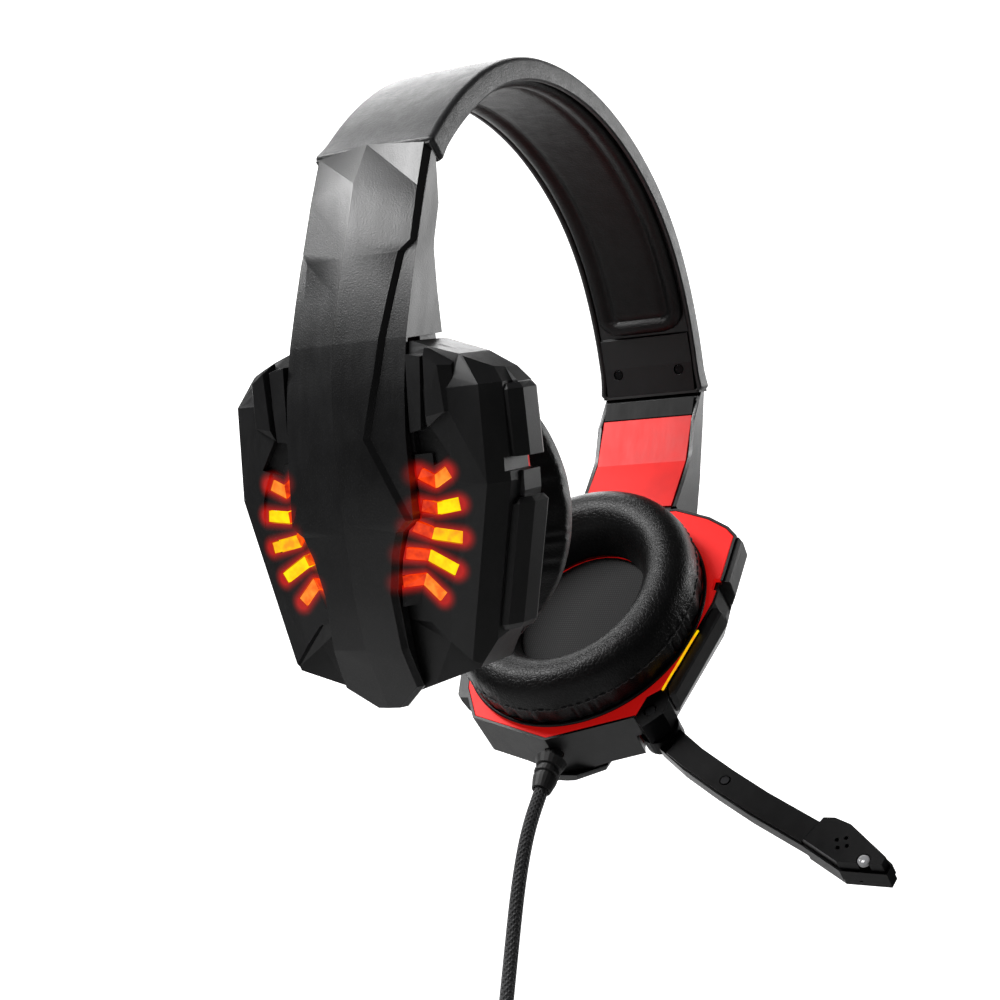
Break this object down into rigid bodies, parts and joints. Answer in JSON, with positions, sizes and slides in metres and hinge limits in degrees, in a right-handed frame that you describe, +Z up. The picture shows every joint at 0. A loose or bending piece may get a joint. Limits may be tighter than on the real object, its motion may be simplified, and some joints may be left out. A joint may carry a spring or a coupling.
{
  "type": "gaming headset",
  "caption": "Over-ear gaming headset with sliding arms, lit octagonal cups, red ear plates, swinging microphone boom and braided cord.",
  "frame": {"origin": "middle of the headband pad's lower face, where the crown of the head holds it", "axes": "+Z up; +X towards the wearer's left ear; -Y the way the wearer faces"},
  "size_m": [0.217, 0.1721, 0.4797],
  "materials": {
    "grey_skin": "fine-grained satin dark grey skin",
    "satin_black": "satin moulded plastic",
    "red_plastic": "matt moulded plastic",
    "soft_black": "smooth leathery skin over foam",
    "steel": "plain steel",
    "driver_grey": "matt",
    "diaphragm_film": "thin clear film",
    "amber_light": "clear light guide, lit orange and yellow",
    "circuit_green": "circuit board",
    "dark_cloth": "fine speaker cloth",
    "clear_lens": "clear",
    "sleeve_black": "matt",
    "cord_black": "braided sleeve over wires",
    "tie_black": "hook and loop strap",
    "plug_black": "satin"
  },
  "bodies": {
    "headband": {"headband_cover": "grey_skin", "headband_liner": "satin_black", "headband_pad": "soft_black", "spring_band": "steel", "slider_guide_left": "satin_black", "slider_guide_right": "satin_black", "band_screw_left_front": "steel", "band_screw_left_rear": "steel", "band_screw_right_front": "steel", "band_screw_right_rear": "steel"},
    "arm_left": {"arm_end_trim_left": "satin_black", "arm_frame_left": "satin_black", "arm_inlay_left": "red_plastic", "cord_hank": "cord_black", "cord_lead": "cord_black", "cord_tail": "cord_black", "cord_tie": "tie_black", "cup_shell_left": "satin_black", "cushion_ring_left": "satin_black", "driver_basket_left": "driver_grey", "driver_diaphragm_left": "diaphragm_film", "driver_magnet_left": "steel", "ear_cushion_left": "soft_black", "ear_plate_left": "red_plastic", "lamp_board_left": "circuit_green", "light_guide_front_left": "amber_light", "light_guide_rear_left": "amber_light", "mic_mount": "satin_black", "mic_pivot_pin": "steel", "plug_grip": "plug_black", "plug_shell": "steel", "slider_strip_left": "steel", "speaker_cloth_left": "dark_cloth", "spine_cover_left": "satin_black", "strain_relief": "sleeve_black"},
    "arm_right": {"arm_end_trim_right": "satin_black", "arm_frame_right": "satin_black", "arm_inlay_right": "red_plastic", "cup_shell_right": "satin_black", "cushion_ring_right": "satin_black", "driver_basket_right": "driver_grey", "driver_diaphragm_right": "diaphragm_film", "driver_magnet_right": "steel", "ear_cushion_right": "soft_black", "ear_plate_right": "red_plastic", "lamp_board_right": "circuit_green", "light_guide_front_right": "amber_light", "light_guide_rear_right": "amber_light", "slider_strip_right": "steel", "speaker_cloth_right": "dark_cloth", "spine_cover_right": "satin_black"},
    "mic_boom": {"boom_shell": "satin_black", "boom_cover": "satin_black", "boom_screw": "steel", "mic_face": "satin_black", "mic_capsule": "steel", "mic_lamp_lens": "clear_lens"}
  },
  "joints": [
    {"name": "slider_left", "type": "slide", "parent": "headband", "child": "arm_left", "axis": [0.4939, 0, -0.8695], "range_m": [0, 0.02]},
    {"name": "slider_right", "type": "slide", "parent": "headband", "child": "arm_right", "axis": [-0.4939, 0, -0.8695], "range_m": [0, 0.02]},
    {"name": "mic_boom", "type": "hinge", "parent": "arm_left", "child": "mic_boom", "pos_m": [0.0522, -0.035, -0.19824], "axis": [-0.9063, 0, 0.4226], "range_deg": [-60, 55]}
  ]
}
